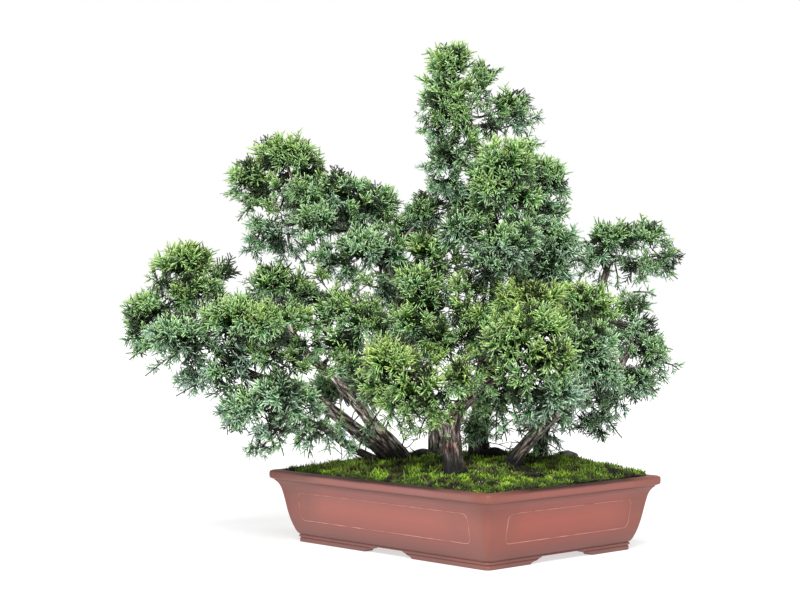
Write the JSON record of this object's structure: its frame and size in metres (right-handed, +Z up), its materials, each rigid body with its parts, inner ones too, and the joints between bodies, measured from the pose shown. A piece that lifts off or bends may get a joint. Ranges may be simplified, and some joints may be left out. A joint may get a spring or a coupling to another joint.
{
  "type": "potted bonsai tree",
  "caption": "Clump of old juniper trunks with clipped foliage pads, in mossy soil in a rectangular clay pot on corner feet.",
  "frame": {"origin": "on the surface that the pot stands on, under the middle of the whole plant's bounding box", "axes": "+Z up, +X along the pot's long side, +Y along its short side"},
  "size_m": [0.5076, 0.5816, 0.6466],
  "materials": {
    "red_clay": "unglazed burnished stoneware",
    "drain_mesh": "woven plastic mesh",
    "soil": "damp gritty soil",
    "moss": "matte moss",
    "grey_stone": "rough weathered stone",
    "dark_stone": "rough damp stone",
    "bark": "weathered fibrous bark",
    "foliage": "matte scale leaves"
  },
  "bodies": {
    "root": {"pot": "red_clay", "drain_screen_1": "drain_mesh", "drain_screen_2": "drain_mesh", "soil": "soil", "moss": "moss", "stone_grey": "grey_stone", "stone_dark": "dark_stone", "stone_chip": "grey_stone", "trunk_left": "bark", "trunk_rear_left": "bark", "trunk_front": "bark", "trunk_rear": "bark", "trunk_right_leaning": "bark", "trunk_right_upright": "bark", "apex": "foliage", "apex_tuft": "foliage", "shoulder_left": "foliage", "shoulder_front": "foliage", "shoulder_right": "foliage", "shoulder_back": "foliage", "waist_front": "foliage", "waist_right": "foliage", "waist_back": "foliage", "right_head": "foliage", "right_back": "foliage", "crown_top": "foliage", "crown_top_right": "foliage", "crown_front": "foliage", "crown_right": "foliage", "crown_far_right": "foliage", "skirt_front": "foliage", "skirt_right": "foliage", "skirt_inner": "foliage", "skirt_middle": "foliage", "spur_front": "foliage", "inner_back": "foliage", "centre_dome": "foliage", "centre_top": "foliage", "centre_middle": "foliage", "centre_back": "foliage", "front_bright": "foliage", "upper_left_dome": "foliage", "upper_left_under": "foliage", "upper_left_middle": "foliage", "upper_left_near": "foliage", "upper_left_inner": "foliage", "upper_left_back": "foliage", "left_top": "foliage", "left_tip": "foliage", "left_front": "foliage", "left_middle": "foliage", "left_saddle": "foliage", "left_under": "foliage", "left_low": "foliage", "left_inner": "foliage", "left_back": "foliage", "left_back_low": "foliage", "trunk_spray": "foliage"}
  },
  "joints": []
}
